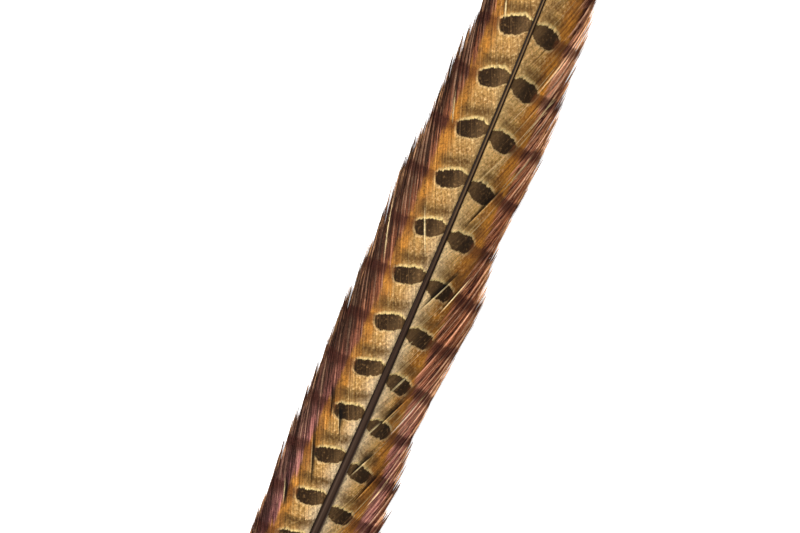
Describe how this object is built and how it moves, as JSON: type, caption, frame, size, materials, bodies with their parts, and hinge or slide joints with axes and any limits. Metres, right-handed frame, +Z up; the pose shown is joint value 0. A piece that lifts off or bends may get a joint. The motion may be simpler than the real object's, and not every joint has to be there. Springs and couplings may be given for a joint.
{
  "type": "pheasant tail feather",
  "caption": "Long barred tail feather lying face up: a tapering shaft, a webbed vane with a loose fringe on each side, and soft down above the bare quill.",
  "frame": {"origin": "middle of the feather's footprint, on the surface it lies on", "axes": "+X along the feather from the quill's end to the tip, +Y to the left vane, +Z up out of the feather's face"},
  "size_m": [0.5476, 0.0484, 0.0083],
  "materials": {
    "horn": "dark brown horn with a lighter line along the middle, going pale and clear in the quill",
    "web": "tan and olive web of fine barbs with dark brown spots, an orange outer zone and a loose purple-brown fringe",
    "down": "soft grey-brown down"
  },
  "bodies": {
    "root": {"shaft": "horn", "left_vane": "web", "right_vane": "web", "left_down": "down", "right_down": "down"}
  },
  "joints": []
}
